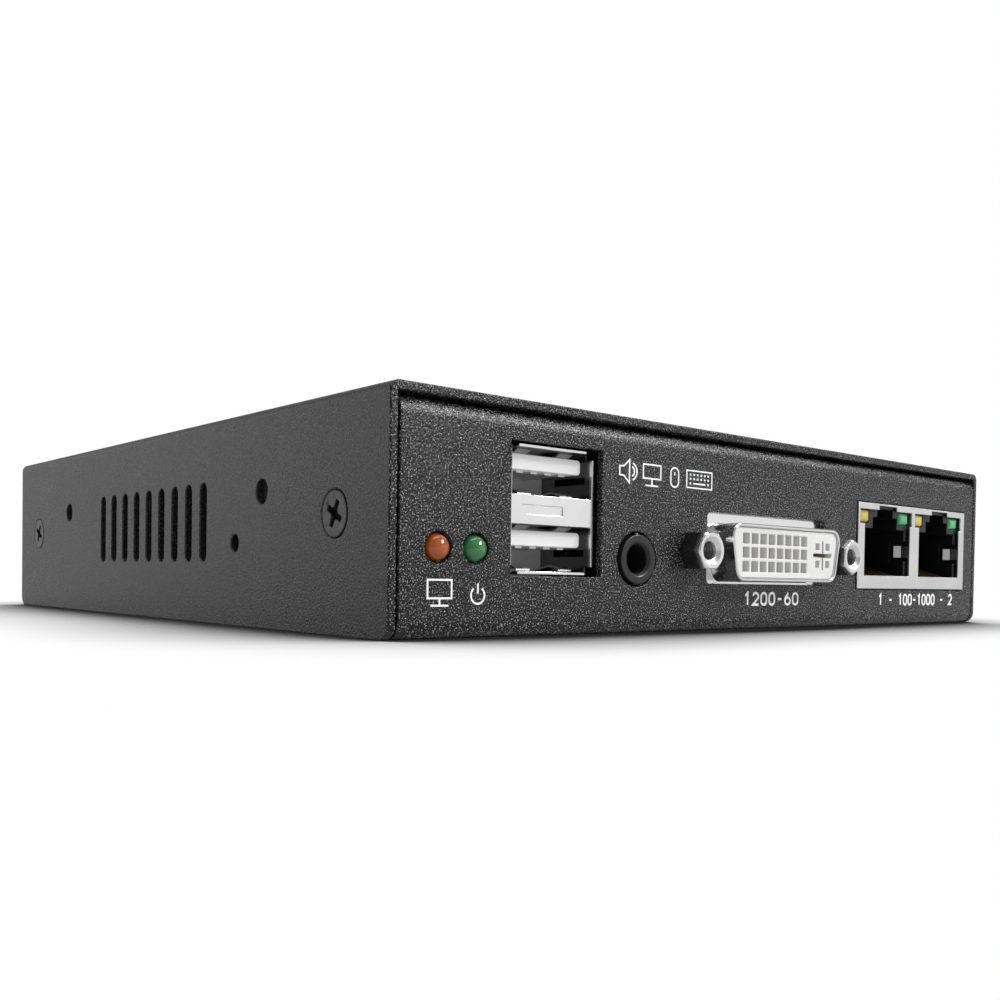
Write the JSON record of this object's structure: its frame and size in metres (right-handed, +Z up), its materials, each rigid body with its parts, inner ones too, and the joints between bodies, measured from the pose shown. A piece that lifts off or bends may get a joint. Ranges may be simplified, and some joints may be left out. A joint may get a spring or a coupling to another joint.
{
  "type": "kvm over ip module",
  "caption": "Flat folded-sheet box with USB, audio, video and network sockets on its panels, lights, vent slots, and a circuit board inside.",
  "frame": {"origin": "middle of the resting face", "axes": "X along the front from left to right, Y from the front panel to the rear panel, Z up"},
  "size_m": [0.126, 0.137, 0.027],
  "materials": {
    "coated_sheet": "textured powder coat, black",
    "screw_black": "black, satin",
    "plated_steel": "bright plated",
    "nickel_steel": "satin nickel",
    "zinc": "dull zinc",
    "gold_contact": "gold plated",
    "white_insulator": "satin",
    "black_insulator": "satin",
    "jack_plastic": "satin",
    "orange_lens": "translucent, clear gloss",
    "green_lens": "translucent, clear gloss",
    "port_yellow": "translucent, clear gloss",
    "port_green": "translucent, clear gloss",
    "circuit_board": "solder mask, satin",
    "chip_body": "moulded, matte",
    "pad_grey": "soft pad, matte",
    "sink_aluminium": "anodised, satin",
    "can_aluminium": "satin",
    "reset_plastic": "satin"
  },
  "bodies": {
    "case": {"base_tray": "coated_sheet", "top_cover": "coated_sheet", "cover_screws": "screw_black", "tab_nuts": "zinc", "bracket_nuts": "zinc", "main_board": "circuit_board", "board_standoffs": "zinc", "board_screws": "zinc", "usb_shell": "plated_steel", "usb_insulator": "white_insulator", "usb_contacts": "nickel_steel", "front_jack_body": "jack_plastic", "front_jack_springs": "nickel_steel", "console_dvi_shell": "plated_steel", "console_dvi_insulator": "white_insulator", "console_dvi_contacts": "gold_contact", "console_dvi_hex_screws": "plated_steel", "network_shield": "nickel_steel", "network_housing": "black_insulator", "network_contacts": "gold_contact", "network_yellow_lights": "port_yellow", "network_green_lights": "port_green", "screen_light": "orange_lens", "power_light": "green_lens", "light_holders": "black_insulator", "rear_dvi_shell": "plated_steel", "rear_dvi_insulator": "white_insulator", "rear_dvi_contacts": "gold_contact", "rear_dvi_hex_screws": "plated_steel", "square_socket_shell": "plated_steel", "square_socket_insulator": "black_insulator", "square_socket_contacts": "gold_contact", "rear_jack_body": "jack_plastic", "rear_jack_springs": "nickel_steel", "power_inlet_body": "black_insulator", "power_inlet_pin": "nickel_steel", "power_inlet_spring": "nickel_steel", "reset_switch": "black_insulator", "processor": "chip_body", "thermal_pad": "pad_grey", "heat_sink": "sink_aluminium", "memory_chips": "chip_body", "network_chips": "chip_body", "video_chips": "chip_body", "flash_chip": "chip_body", "clock_crystals": "nickel_steel", "power_coils": "chip_body", "power_capacitors": "can_aluminium", "regulator_chips": "chip_body"},
    "reset_button": {"reset_button": "reset_plastic"}
  },
  "joints": [
    {"name": "reset_press", "type": "slide", "parent": "case", "child": "reset_button", "axis": [0, -1, 0], "range_m": [0, 0.0008], "stiffness_N_per_m": 1500}
  ]
}
